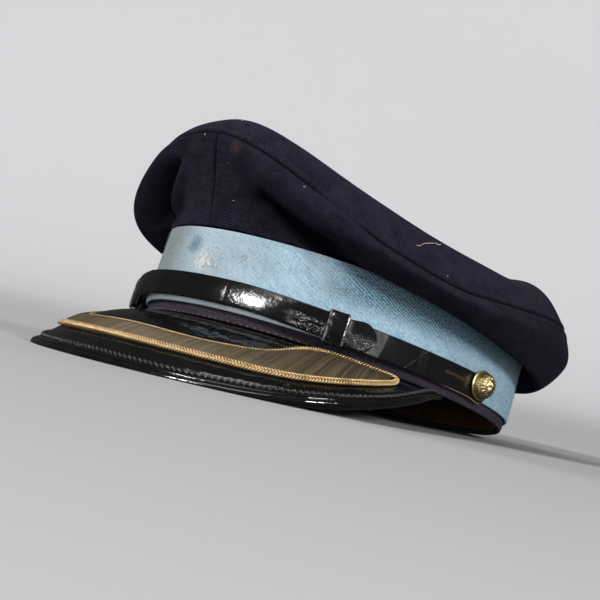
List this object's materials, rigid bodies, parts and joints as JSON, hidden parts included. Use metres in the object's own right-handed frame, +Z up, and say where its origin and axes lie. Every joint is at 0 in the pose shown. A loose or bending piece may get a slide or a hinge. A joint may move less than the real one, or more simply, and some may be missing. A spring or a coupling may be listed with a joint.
{
  "type": "visor cap",
  "caption": "Peaked dress cap with a soft wool crown, contrasting cloth band, patent leather peak with a gold thread crescent, chin strap and domed side buttons.",
  "frame": {"origin": "centre of the object's box, on the surface that the cap rests on", "axes": "+Z up, -Y towards the front of the cap, +X towards the wearer's left"},
  "size_m": [0.2198, 0.2846, 0.1242],
  "materials": {
    "navy_wool": "twilled wool, matt",
    "base_wool": "faded wool, matt",
    "blue_wool": "napped twilled wool, matt",
    "sweat_leather": "worn, satin",
    "patent_leather": "patent, glossy",
    "gold_thread": "tarnished metal thread",
    "gold_cord": "twisted metal cord",
    "strap_leather": "patent, creased and worn",
    "button_brass": "stamped, slightly tarnished"
  },
  "bodies": {
    "root": {"crown_top": "navy_wool", "crown_side_left": "navy_wool", "crown_side_right": "navy_wool", "band_base": "base_wool", "band": "blue_wool", "sweatband": "sweat_leather", "visor": "patent_leather", "visor_binding": "patent_leather", "braid_field": "gold_thread", "braid_cord": "gold_cord", "strap_inner": "strap_leather", "strap_outer": "strap_leather", "keeper_left": "strap_leather", "keeper_right": "strap_leather", "button_left": "button_brass", "button_right": "button_brass"}
  },
  "joints": []
}
